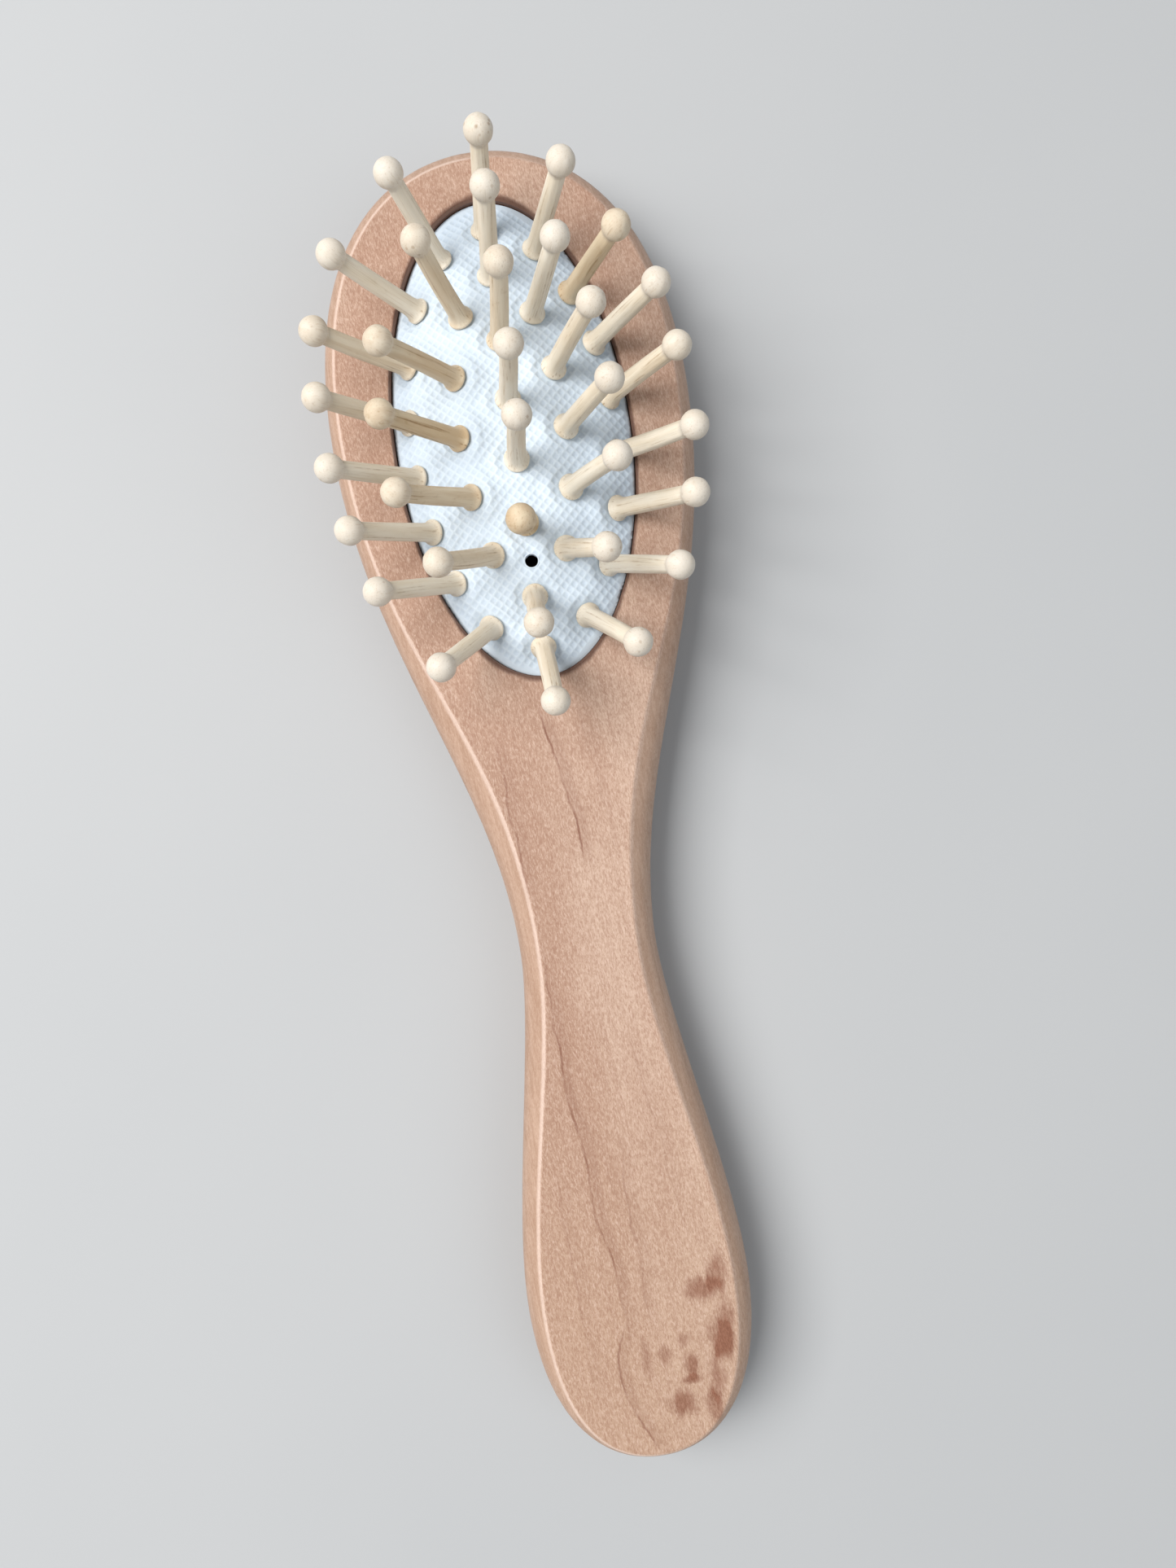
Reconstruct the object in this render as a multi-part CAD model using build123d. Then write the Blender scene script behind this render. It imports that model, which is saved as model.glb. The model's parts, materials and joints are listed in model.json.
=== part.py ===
from build123d import *
import math
import os

# A small cushion hairbrush, in millimetres. It lies on its back on Z = 0 with the pins up, X goes
# across it, and Y along it from the handle's end to the head. Y = 0 is half way along the wood.

# Wood body. Three outlines shape it: the edge of the flat pin face, the widest line round the side,
# and the edge of the flat land on the back. Each says its half width at the head, the neck and the
# grip, how far it goes from Y = 0 to the head's end and to the handle's end, and how far its tangents
# reach from the head towards the neck, from the neck both ways, and from the grip towards the neck.
THICKNESS = 12.6
HEAD_Y = 53.4
NECK_Y = -20.7
GRIP_Y = -66.9
FACE_OUTLINE = (22.7, 6.5, 12.65, 86.3, 87.7, 33.5, 33.0, 14.1, 15.2)
WIDE_OUTLINE = (24.75, 9.3, 15.15, 89.15, 89.15, 30.3, 24.7, 10.8, 12.8)
LAND_OUTLINE = (17.5, 3.2, 8.0, 81.9, 81.9, 28.0, 26.0, 11.0, 13.0)
# How square the two ends are: the share of the way to the corner that their tangents reach.
HEAD_END_ACROSS = 0.46
HEAD_END_ALONG = 0.76
GRIP_END_ACROSS = 0.73
GRIP_END_ALONG = 0.56
# The rounded side above and below its widest line: (depth under the face, share of the way in).
FACE_SIDE = ((0.0, 1.0), (1.4, 0.43), (3.2, 0.09))
WIDEST_DEPTH = 5.2
LAND_SIDE = ((7.8, 0.08), (10.2, 0.29), (11.9, 0.62), (THICKNESS, 1.0))
# Radii that soften the edge of the pin face and the edge of the flat land on the back.
FACE_ROUND = 0.5
LAND_ROUND = 4.0

# Oval pocket in the pin face, with a groove in its wall for the cushion's bead.
POCKET_Y = 48.5
POCKET_HALF_WIDTH = 15.9
POCKET_HALF_LENGTH = 32.2
POCKET_DEPTH = 7.0
POCKET_EDGE = 0.3
GROOVE_TOP = 2.9
GROOVE_BOTTOM = 4.7
GROOVE_DEEP = 1.2

# Rubber cushion: a hollow dome, a skirt down the pocket's wall and a bead in the groove.
FIT_GAP = 0.12
CUSHION_DROP = 1.0
CUSHION_RISE = 5.0
DOME_SPREAD = 0.8
MEMBRANE = 1.1
SKIRT = 1.3
VENT_Y = -17.4
VENT_RADIUS = 0.8

# Turned pin, along its own axis from the membrane's outer surface.
BALL_RADIUS = 1.83
PIN_LENGTH = 14.5
SHAFT_RADIUS = 1.22
SHAFT_TOP_RADIUS = 1.12
COLLAR_RADIUS = 1.72
COLLAR_EDGE = 0.35
COLLAR_FLARE = 1.7
# Where the flare's curve bends: this far outside the shaft, and above the collar's edge.
FLARE_BEND = (0.05, 0.35)
PIN_NECK_RADIUS = 0.8
PIN_NECK_LENGTH = 1.65
BARB_RADIUS = 1.25
BARB_TIP_RADIUS = 0.6
BARB_LENGTH = 1.9
BARB_EDGE = 0.3
# The pin's collar stands this far off the membrane, in a seat this much wider than itself all
# round. The seat runs this far out from the membrane's two faces.
PIN_LIFT = 0.15
SEAT_GAP = 0.12
SEAT_REACH = 3.0

# Pin rings: half width, half length and middle, measured from the pocket's middle, and the single
# row down the middle. The pins fan out from lines this far below the cushion.
OUTER_RING = (13.3, 27.85, -0.5, 18)
INNER_RING = (6.9, 21.2, -0.7, 12)
CENTRE_ROW = (11.4, 3.5, -4.4, -12.5)
FAN_ACROSS = 15.0
FAN_ALONG = 57.0
# How far each pin has settled off its fan direction in the soft rubber, in degrees towards +X and
# towards the head. Both rings start at the head's end and run towards +X; the row starts there too.
OUTER_SETTLED = (
    (5, -4), (-6, -8), (-10, -11), (-7, -4), (-7, 1), (-3, -3), (-1, 0), (0, 0), (0, -3),
    (3, -9), (-5, -3), (-4, 8), (0, 5), (0, 1), (-2, 2), (-6, 0), (-5, 0), (5, -2),
)
INNER_SETTLED = (
    (4, -3), (-3, -4), (-3, 1), (-3, 3), (-1, 5), (1, 1),
    (1, -2), (-8, 3), (-12, 1), (-11, 2), (-10, -3), (2, 1),
)
CENTRE_SETTLED = ((5, 2), (4, 1), (3, 7), (-2, 0))

# Cutting blocks run this far past the surface that they open, and places this close are the same.
CUT_PAST = 1.0
SAME = 0.01

FACE_Z = THICKNESS
DOME_TOP = CUSHION_RISE / (1 - math.sqrt(1 - DOME_SPREAD**2))


def outline(inner, share, depth):
    """The wood's closed outline at one depth, a share of the way from its widest line to another."""
    sizes = [wide + share * (size - wide) for wide, size in zip(WIDE_OUTLINE, inner)]
    head, neck, grip, top, bottom, head_reach, up_reach, down_reach, grip_reach = sizes
    end = -bottom
    head_corner = HEAD_Y + HEAD_END_ALONG * (top - HEAD_Y)
    grip_corner = GRIP_Y + GRIP_END_ALONG * (end - GRIP_Y)
    right = [
        ((0, top), (HEAD_END_ACROSS * head, top), (head, head_corner), (head, HEAD_Y)),
        ((head, HEAD_Y), (head, HEAD_Y - head_reach), (neck, NECK_Y + up_reach), (neck, NECK_Y)),
        ((neck, NECK_Y), (neck, NECK_Y - down_reach), (grip, GRIP_Y + grip_reach), (grip, GRIP_Y)),
        ((grip, GRIP_Y), (grip, grip_corner), (GRIP_END_ACROSS * grip, end), (0, end)),
    ]
    left = [tuple((-x, y) for x, y in reversed(points)) for points in reversed(right)]
    edges = [Bezier(*[(x, y, FACE_Z - depth) for x, y in points]) for points in right + left]
    return make_face(edges)


def oval(margin, bottom, top):
    """An upright oval block, `margin` larger than the pocket all round."""
    plan = Ellipse(POCKET_HALF_WIDTH + margin, POCKET_HALF_LENGTH + margin)
    return Pos(0, POCKET_Y, bottom) * extrude(plan, amount=top - bottom)


def handle_body():
    """Head and handle in one piece of wood, with the pocket and its groove."""
    sections = [outline(FACE_OUTLINE, share, depth) for depth, share in FACE_SIDE]
    sections.append(outline(WIDE_OUTLINE, 0, WIDEST_DEPTH))
    sections += [outline(LAND_OUTLINE, share, depth) for depth, share in LAND_SIDE]
    wood = loft(sections)
    wood = fillet(wood.faces().sort_by(Axis.Z)[-1].edges(), FACE_ROUND)
    wood = fillet(wood.faces().sort_by(Axis.Z)[0].edges(), LAND_ROUND)
    wood -= oval(0, FACE_Z - POCKET_DEPTH, FACE_Z + CUT_PAST)
    wood -= oval(GROOVE_DEEP, FACE_Z - GROOVE_BOTTOM, FACE_Z - GROOVE_TOP)
    mouth = wood.edges().filter_by(lambda edge: on_pocket_mouth(edge))
    return chamfer(mouth, POCKET_EDGE)


def on_pocket_mouth(edge):
    """True for the edge where the pocket meets the pin face."""
    middle = edge @ 0.5
    across = middle.X / POCKET_HALF_WIDTH
    along = (middle.Y - POCKET_Y) / POCKET_HALF_LENGTH
    return abs(middle.Z - FACE_Z) < SAME and abs(math.hypot(across, along) - 1) < SAME


def dome(shrink):
    """The cushion's dome as a solid, `shrink` inside its outer surface."""
    half_width = (POCKET_HALF_WIDTH - FIT_GAP) / DOME_SPREAD - shrink
    half_length = (POCKET_HALF_LENGTH - FIT_GAP) / DOME_SPREAD - shrink
    ball = scale(Sphere(1), by=(half_width, half_length, DOME_TOP - shrink))
    rim = FACE_Z - CUSHION_DROP
    centre = rim - DOME_TOP * math.sqrt(1 - DOME_SPREAD**2)
    over_pocket = Box(2 * POCKET_HALF_WIDTH, 2 * POCKET_HALF_LENGTH, 2 * CUSHION_RISE)
    return (Pos(0, POCKET_Y, centre) * ball) & (Pos(0, POCKET_Y, rim + CUSHION_RISE) * over_pocket)


def dome_height(x, y):
    """Height of the dome's outer surface over a point (x, y) from the pocket's middle."""
    across = DOME_SPREAD * x / (POCKET_HALF_WIDTH - FIT_GAP)
    along = DOME_SPREAD * y / (POCKET_HALF_LENGTH - FIT_GAP)
    crown = math.sqrt(1 - across**2 - along**2) - math.sqrt(1 - DOME_SPREAD**2)
    return FACE_Z - CUSHION_DROP + DOME_TOP * crown


def ring_places(ring):
    """Evenly spaced places round an oval ring, from the head's end towards +X."""
    half_width, half_length, middle, count = ring
    line = Edge.make_ellipse(half_length, half_width)
    places = []
    for index in range(count):
        distance = index / count * line.length
        point = line.position_at(distance, position_mode=PositionMode.LENGTH)
        places.append((point.Y, point.X + middle))
    return places


def pin_plane(place, settled):
    """The plane on the membrane that a pin stands on, its Z along the pin."""
    x, y = place
    across = math.atan(x / FAN_ACROSS) + math.radians(settled[0])
    along = math.atan(y / FAN_ALONG) + math.radians(settled[1])
    up_pin = Vector(math.tan(across), math.tan(along), 1).normalized()
    foot = Vector(x, y + POCKET_Y, dome_height(x, y)) + up_pin * PIN_LIFT
    return Plane(origin=foot, x_dir=(0, 1, 0), z_dir=up_pin)


def pin_planes():
    """The plane of every pin, by the pin's name."""
    rows = (
        ("outer_pin", ring_places(OUTER_RING), OUTER_SETTLED),
        ("inner_pin", ring_places(INNER_RING), INNER_SETTLED),
        ("centre_pin", [(0, y) for y in CENTRE_ROW], CENTRE_SETTLED),
    )
    planes = {}
    for row, places, settled in rows:
        for number, (place, lean) in enumerate(zip(places, settled), 1):
            planes[f"{row}_{number:02d}"] = pin_plane(place, lean)
    return planes


def pin():
    """One turned pin, upright: ball, shaft, collar, the neck in the membrane and the barb below."""
    ball_meets_shaft = PIN_LENGTH - math.sqrt(BALL_RADIUS**2 - SHAFT_TOP_RADIUS**2)
    barb_top = -PIN_NECK_LENGTH
    barb_tip = barb_top - BARB_LENGTH
    foot = [
        (0, barb_tip),
        (BARB_TIP_RADIUS, barb_tip),
        (BARB_RADIUS, barb_top - BARB_EDGE),
        (BARB_RADIUS, barb_top),
        (PIN_NECK_RADIUS, barb_top),
        (PIN_NECK_RADIUS, 0),
        (COLLAR_RADIUS, 0),
        (COLLAR_RADIUS, COLLAR_EDGE),
    ]
    flare_bend = (SHAFT_RADIUS + FLARE_BEND[0], COLLAR_EDGE + FLARE_BEND[1])
    flare_end = (SHAFT_RADIUS, COLLAR_EDGE + COLLAR_FLARE)
    edges = Polyline(*foot)
    edges += Bezier(foot[-1], flare_bend, flare_end)
    edges += Line(flare_end, (SHAFT_TOP_RADIUS, ball_meets_shaft))
    crown = (0, PIN_LENGTH + BALL_RADIUS)
    edges += ThreePointArc((SHAFT_TOP_RADIUS, ball_meets_shaft), (BALL_RADIUS, PIN_LENGTH), crown)
    edges += Line(crown, foot[0])
    return revolve(Plane.XZ * make_face(edges), Axis.Z)


def pin_seat():
    """What the membrane leaves clear round one upright pin."""
    middle = SEAT_REACH / 2 - SEAT_GAP
    collar = Pos(0, 0, middle) * Cylinder(COLLAR_RADIUS + SEAT_GAP, SEAT_REACH)
    neck = Cylinder(PIN_NECK_RADIUS + SEAT_GAP, 2 * PIN_NECK_LENGTH)
    barb = Pos(0, 0, -PIN_NECK_LENGTH - middle) * Cylinder(BARB_RADIUS + SEAT_GAP, SEAT_REACH)
    return collar + neck + barb


def cushion():
    """The rubber cushion, hollow underneath, with its vent and the holes for the pins."""
    rim = FACE_Z - CUSHION_DROP
    skirt_foot = FACE_Z - GROOVE_BOTTOM + FIT_GAP
    bead_top = FACE_Z - GROOVE_TOP - FIT_GAP
    rubber = dome(0) - dome(MEMBRANE)
    skirt = oval(-FIT_GAP, skirt_foot, rim) + oval(GROOVE_DEEP - FIT_GAP, skirt_foot, bead_top)
    rubber += skirt - oval(-FIT_GAP - SKIRT, skirt_foot - CUT_PAST, rim + CUT_PAST)
    rubber -= Pos(0, POCKET_Y + VENT_Y, FACE_Z) * Cylinder(VENT_RADIUS, 2 * THICKNESS)
    seat = pin_seat()
    rubber -= [plane.location * seat for plane in pin_planes().values()]
    return rubber


def write(name, shape):
    export_step(shape, f"parts/{name}.step")


os.makedirs("parts", exist_ok=True)
write("handle_body", handle_body())
write("cushion", cushion())
upright_pin = pin()
for pin_name, plane in pin_planes().items():
    write(pin_name, plane.location * upright_pin)
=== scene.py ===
import json
import math
import random

import bpy
import numpy as np
from mathutils import Matrix, Vector


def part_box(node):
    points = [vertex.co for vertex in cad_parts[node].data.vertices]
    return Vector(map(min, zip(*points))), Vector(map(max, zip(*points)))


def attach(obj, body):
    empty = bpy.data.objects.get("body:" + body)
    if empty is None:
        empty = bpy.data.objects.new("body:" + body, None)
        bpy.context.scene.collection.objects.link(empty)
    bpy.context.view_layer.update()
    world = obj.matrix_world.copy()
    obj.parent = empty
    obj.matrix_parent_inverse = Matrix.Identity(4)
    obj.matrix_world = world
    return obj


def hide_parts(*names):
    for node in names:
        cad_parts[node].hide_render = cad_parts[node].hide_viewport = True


# A small cushion hairbrush lying on its back. Lengths are written in millimetres and turned into
# metres with MM where they meet the frame.
MM = 0.001

TURN = 2 * math.pi
# Sides of everything that is round.
ROUND_SIDES = 48

# Rubber cushion. The dome's own size comes from the frame's cushion. Its outline is an ellipse, and
# "reach" is 0 in the ellipse's middle and 1 on its rim.
BEAD_OUT = 1.2
DOME_RISE = 5.0
DOME_SPREAD = 0.8
# Keeps the dome's root above zero outside the rim.
DOME_LEAST = 0.05
MEMBRANE = 1.1
SKIRT = 1.3
BEAD_TOP = 9.58
BEAD_BOTTOM = 8.85
SKIRT_FOOT = 8.05
# The rim's rounded edge, as how far it lies inside the skirt and how deep under the rim.
RIM_EDGE = (-0.02, 0.25)
RIM_SIDE_TOP = 0.6
# Past the first reach the membrane follows the pins less and less, and past the second it is the rim.
FOLLOW_REACH = 0.93
RIM_REACH = 0.99
# Step over which the membrane's slope is measured.
SLOPE_STEP = 0.05
# Edges that turn by more than this many degrees are drawn sharp, on the cushion and on the pins.
CUSHION_SHARP = 62
PIN_SHARP = 50
# Vent, as a place from the cushion's middle, and the thin lip that lines it.
VENT_Y = -17.4
VENT_RADIUS = 0.84
LIP_WIDTH = 0.2
LIP_DEPTH = 0.25
LIP_ROUNDING = 0.05
LIP_OUTER_ROUNDING = 0.04
# Waffle: ridges this far apart, at this angle to the brush, and where in one step of the pattern the
# ridge's top ends, the cell's floor begins and ends, and the next ridge's top begins. The cells are
# WAFFLE_DEEP deep, and there are none past WAFFLE_REACH.
WAFFLE_PITCH = 0.9
WAFFLE_ANGLE = 45
WAFFLE_STEPS = (0.05, 0.2, 0.66, 0.81)
WAFFLE_DEEP = 0.11
WAFFLE_REACH = 0.97
# Round each pin the membrane follows the collar, SEAT_UNDER below it and as far out as SEAT_REACH. A
# dimple under the collar leaves the pin room to rock sideways. It is DIMPLE_DEEP deep there, and
# DIMPLE_LEAST of that towards the brush's ends. It is flat out to DIMPLE_FLOOR from the pin's axis, and
# ends at DIMPLE_EDGE. Nearer the axis than NEAR_AXIS its direction doesn't count.
SEAT_UNDER = 0.03
SEAT_REACH = 4.4
DIMPLE_DEEP = 0.46
DIMPLE_LEAST = 0.3
DIMPLE_FLOOR = 2.0
DIMPLE_EDGE = 3.0
NEAR_AXIS = 0.3
HOLE_RADIUS = 1.12

# Turned bamboo pin, along its own axis from its collar's underside.
PIN_LENGTH = 14.5
BALL_RADIUS = 1.83
SHAFT_RADIUS = 1.22
SHAFT_TOP_RADIUS = 1.12
COLLAR_RADIUS = 1.72
COLLAR_EDGE = 0.35
COLLAR_FLARE = 1.7
# The collar's lower edge is bevelled by this much across and up, its upper edge by this much in and down.
COLLAR_LOWER_BEVEL = (0.1, 0.06)
COLLAR_UPPER_BEVEL = (0.04, 0.08)
# Middle point of the curve from collar to shaft: how far outside the shaft, and how high.
FLARE_POINT = (0.05, 0.35)
NECK_RADIUS = 0.8
NECK_LENGTH = 1.65
NECK_RING = 0.4
BARB_RADIUS = 1.25
BARB_TIP_RADIUS = 0.6
BARB_LENGTH = 1.9
BARB_SIDE = 0.3
# Rings along the flare, the shaft and the ball.
FLARE_STEPS = 8
SHAFT_STEPS = 22
BALL_STEPS = 18
PIVOT_DEPTH = 0.7
PIN_SEED = 11
# How pins differ: flutes round the shaft, dents in the ball, chips in the collar's edge, and a bow.
FLUTE_COUNTS = (2, 3, 5, 7, 9)
FLUTE_DEEP = 0.016
FLUTE_TWIST = 1.5
FLUTE_START = 6
FLUTE_LESS_ON_BALL = 0.35
FLUTE_SIZES = (0.3, 1.0)
BALL_BLEND = 0.6
DENTS = 5
DENT_DEEP = 0.1
DENT_LEVELS = (-0.7, 1.0)
DENT_SIZES = (0.25, 0.5)
CHIPS = 3
CHIP_DEEP = 0.12
CHIP_SIZES = (0.2, 0.5)
BOW = 0.12
THINNEST = 0.02
# The bamboo's pattern is shifted by up to this much from pin to pin.
GRAIN_SHIFT = 40
# How brown and streaked single pins are, from 0 to 1. The others lie between the two of PALE.
PALE = (0.0, 0.2)
BROWN_PINS = {
    "outer_pin_03": 0.75, "outer_pin_05": 0.35, "centre_pin_01": 0.45, "centre_pin_04": 1.0,
    "inner_pin_07": 0.3, "inner_pin_08": 0.4, "inner_pin_09": 0.6, "inner_pin_10": 0.85,
    "inner_pin_11": 0.65, "inner_pin_12": 0.45, "outer_pin_16": 0.4, "outer_pin_15": 0.3,
}

# The wood's grain runs at this angle to the brush.
GRAIN_ANGLE = 5
# Growth lines on the pin face: (x, y, half length, slant, bend, strength), where slant is how far a
# line moves across for each millimetre towards the head, and bend is how much of a curve it has.
GROWTH_LINES = (
    (-4.8, -46, 29, -0.085, 0.001, 0.8), (-3.4, -79, 10, -0.16, 0.03, 0.7), (0.0, 1, 12, -0.13, 0.0, 1.0),
    (-7.7, -2, 13, -0.055, 0.0, 0.55), (0.5, -58, 14, -0.02, 0.0, 0.4), (-3.6, -44, 12, -0.3, 0.0, 0.2),
    (5.8, -46, 16, -0.12, 0.0, 0.25), (-8.2, -64, 18, -0.05, 0.002, 0.25), (4.6, 2, 12, -0.1, 0.0, 0.2),
)
# Old stains near the end of the handle: (x, y, half width, half length, strength).
STAINS = (
    (8.6, -66.9, 2.4, 1.5, 0.8), (10.2, -65.4, 1.4, 1.8, 0.55), (11.0, -63.6, 0.9, 1.6, 0.3),
    (10.9, -71.2, 1.2, 2.2, 0.65), (10.0, -74.2, 1.6, 2.5, 1.0), (8.6, -78.6, 1.2, 3.0, 0.65),
    (7.9, -82.2, 1.0, 2.4, 0.65), (5.5, -76.5, 1.2, 1.6, 0.8), (5.3, -78.5, 1.6, 0.6, 0.8),
    (3.7, -81.4, 1.9, 1.7, 0.85), (2.1, -74.9, 1.2, 1.2, 0.5), (5.0, -73.3, 0.9, 0.9, 0.45),
    (-0.4, -74.6, 0.7, 2.6, 0.4),
)

# Camera: straight above the middle of the brush, turned a little against it.
CAMERA_AT = (0.13, -0.7, 158.6)
CAMERA_LOOKS_AT = (3.1, 1.2, 12.6)
CAMERA_ROLL = -8.36
CAMERA_LENS = 25.23
CAMERA_NEAR = 0.005
# Lights: name, place in metres, size in metres, power in watts and colour.
WINDOW_LIGHT = ("window", (-0.44, 0.16, 0.7), 0.55, 9.1, (1.0, 0.985, 0.965))
FILL_LIGHT = ("fill", (0.5, -0.35, 0.7), 0.6, 1.3, (0.95, 0.98, 1.0))
SKY_COLOUR = (0.92, 0.96, 1.0, 1.0)
SKY_STRENGTH = 0.36
# Side of the square floor, in metres.
FLOOR_SIZE = 3.0


def paint(red, green, blue):
    """A colour given as it is seen, from 0 to 255, in the linear form that shaders take."""
    return (*(((part / 255 + 0.055) / 1.055) ** 2.4 for part in (red, green, blue)), 1.0)


# Wood colours: darker and lighter tone, streaks, sides, and what lies on them.
WOOD_TONES = (paint(174, 140, 119), paint(196, 167, 147))
WOOD_BAND = paint(166, 130, 110)
WOOD_SIDE = (paint(168, 136, 114), paint(190, 160, 139))
WOOD_PORE = paint(140, 98, 78)
WOOD_RAY = paint(222, 196, 180)
WOOD_GROWTH = paint(118, 70, 50)
WOOD_END = paint(186, 155, 131)
# Painted highlight, with some wear, along the pin face's edge.
WOOD_EDGE_HIGHLIGHT_AND_WEAR = paint(236, 214, 200)
WOOD_STAIN = paint(172, 124, 102)
# A thin dark line round the pocket's mouth.
WOOD_POCKET_LINE = paint(84, 50, 36)
# Bamboo colours: darker and lighter tone of a pale pin and of a brown one, and what lies on them.
BAMBOO_TONES = ((paint(222, 211, 191), paint(233, 226, 212)), (paint(194, 165, 126), paint(214, 194, 160)))
BAMBOO_BALL = paint(214, 205, 194)
BAMBOO_STREAK = paint(146, 112, 72)
BAMBOO_FIBRE = paint(178, 150, 112)
# Rubber colours: two tones of the ridges, painted shade on the cells' floors, and the dust in the cells.
RUBBER_TONES = (paint(203, 216, 228), paint(211, 223, 233))
RUBBER_CELL_SHADE = paint(180, 195, 211)
RUBBER_DUST = paint(150, 146, 140)
FLOOR_TONES = (paint(176, 178, 180), paint(184, 185, 186))

# Patterns: cells to a millimetre along X, Y and Z. Wood runs along Y, and a pin along its own Z.
WOOD_TONE_SCALE = (0.1, 0.028, 0.1)
WOOD_BAND_SCALE = (1.6, 0.05, 0.9)
WOOD_FLECK_SCALE = (5.5, 1.7, 5.5)
WOOD_FIBRE_SCALE = (12.0, 2.6, 12.0)
STAIN_SCALE = (0.9, 0.25, 0.9)
GROWTH_DRIFT_SCALE = (0.05, 0.09, 0.05)
GROWTH_BREAK_SCALE = (1.2, 0.16, 1.2)
POCKET_LINE_SCALE = (0.35, 0.35, 0.35)
RUBBER_BLOTCH_SCALE = (0.09, 0.07, 0.09)
RUBBER_DUST_SCALE = (1.6, 1.6, 1.6)
RUBBER_GRIT_SCALE = (14.0, 14.0, 14.0)
BAMBOO_SWAY_SCALE = (0.4, 0.4, 0.08)
BAMBOO_TONE_SCALE = (0.7, 0.7, 0.09)
BAMBOO_STRAND_SCALE = (2.3, 2.3, 0.035)
BAMBOO_FIBRE_SCALE = (6.5, 6.5, 0.16)
BAMBOO_MOTTLE_SCALE = (1.1, 1.1, 0.8)
BAMBOO_DOT_SCALE = (0.75, 0.75, 0.75)
FLOOR_SCALE = 0.01

# A pair named FADE says where something begins to show and where it shows in full, and a number or pair
# named SHARE says how strongly it shows there. Most of a noise pattern's values lie within SPREAD.
SPREAD = (0.3, 0.7)

# Wood. Depths under the pin face, in millimetres: where the face's look begins and is full, and where
# the light line along its edge, a painted highlight with some wear, begins, is full, and starts to end.
FACE_FADE = (0.55, 0.1)
EDGE_HIGHLIGHT_WEAR_FADE = (0.5, 0.2)
EDGE_HIGHLIGHT_WEAR_END = 0.06
# The painted highlight's strength on the brush's right and on its lit left, and where that changes.
EDGE_HIGHLIGHT_WEAR_SHARE = (0.12, 0.5)
RIGHT_TO_LEFT = (4.0, -4.0)
# Places along the brush where the handle's look takes over from the head's, and where the look of the
# handle's end begins and is full. The wood turns paler rightward, by the first of HEART_SLANT for each
# millimetre in the head and by the second in the handle, and HEART_WAVE is how uneven that is.
HANDLE_START = (20.0, 0.0)
HEART_SLANT = (0.02, 0.16)
HEART_WAVE = 5.0
HEART_FADE = (3.0, 1.2)
HANDLE_END = (-25.0, -85.0)
END_SHARE = 0.75
BAND_SHARE = 0.4
SIDE_FADE = (0.35, 0.65)
SIDE_SHARE = 0.75
# Flecks: pores, rays, and how much more of both the face shows than the sides do, and the sides' share.
PORE_FADE = (0.54, 0.34)
RAY_FADE = (0.46, 0.7)
FLECK_MORE = 0.25
FLECK_SHARE = 0.2
FIBRE_FADE = (0.46, 0.28)
FIBRE_SHARE = 0.3
# Growth lines: how far they wander, where they are broken and what is left there, their half width,
# their halo's place beside them, half width and strength, and where along them they start to end.
GROWTH_WANDER = 0.5
GROWTH_FADE = (0.34, 0.6)
GROWTH_LEAST = 0.25
GROWTH_WIDTH = 0.28
HALO_BESIDE = 0.7
HALO_WIDTH = 1.3
HALO_SHARE = 0.3
GROWTH_ENDS = 0.6
GROWTH_SHARE = 0.8
# Stains: how ragged their outline is, and where they show, as a share of their size.
RAGGED_SPREAD = (0.2, 0.8)
RAGGED = 0.45
STAIN_FADE = (1.45, 0.35)
STAIN_SHARE = 0.85
# The thin dark line round the pocket's mouth, as a share of the pocket's size.
POCKET_LINE_FADE = (1.024, 1.0)
POCKET_LINE_UNEVEN = 0.03
POCKET_LINE_SHARE = 0.85
# Roughness over the flecks, and how much smoother the sides are; then what the flecks, the fibres and
# the growth lines add to the relief, and the relief's depth in millimetres and strength.
WOOD_ROUGH = (0.62, 0.5)
SIDE_SMOOTHER = 0.06
FLECK_RELIEF = 0.6
FIBRE_RELIEF = 0.4
GROWTH_RELIEF = -0.3
WOOD_BUMP = (0.03, 0.5)

# Rubber: its scattering, the painted shade in the cells, the dust and how much of it lies on the ridges.
RUBBER_SCATTER = (1.0, 0.9, 0.8)
CELL_SHADE_SHARE = 0.36
DUST_FADE = (0.62, 0.8)
DUST_SHARE = 0.45
RIDGE_DUST = 0.25
RUBBER_ROUGH = (0.52, 0.68)
RUBBER_BUMP = (0.02, 0.5)

# Bamboo. The ball's paler look begins and is full this far below its middle.
BALL_FADE = (2.2, 1.0)
BALL_PALER = 0.65
BALL_PALER_BROWN = -0.45
# Streaks: where they lie, their strength from place to place, and what brown and the ball add to it.
STREAK_FADE = (0.34, 0.1)
MOTTLE_FADE = (0.35, 0.7)
STREAK_SHARES = (0.08, 0.45)
STREAK_BROWN = 0.5
STREAK_BALL = -0.75
STRAND_FADE = (0.46, 0.26)
STRAND_SHARE = 0.4
# Dots on the balls, and brown patches with what brown adds to them.
DOT_FADE = (0.22, 0.08)
DOT_SHARE = 0.5
PATCH_FADE = (0.56, 0.74)
PATCH_BROWN = 0.8
PATCH_LEAST = 0.1
PATCH_SHARE = 0.6
BAMBOO_ROUGH = (0.62, 0.46)
STRAND_RELIEF = 0.7
GROOVE_FADE = (0.3, 0.1)
GROOVE_RELIEF = -0.5
BAMBOO_BUMP = (0.05, 0.6)

# Gloss and floor.
GLOSS = 0.35
RUBBER_GLOW = 0.08
RUBBER_GLOW_DEPTH = 0.0012
FLOOR_ROUGH = 0.8


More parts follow.
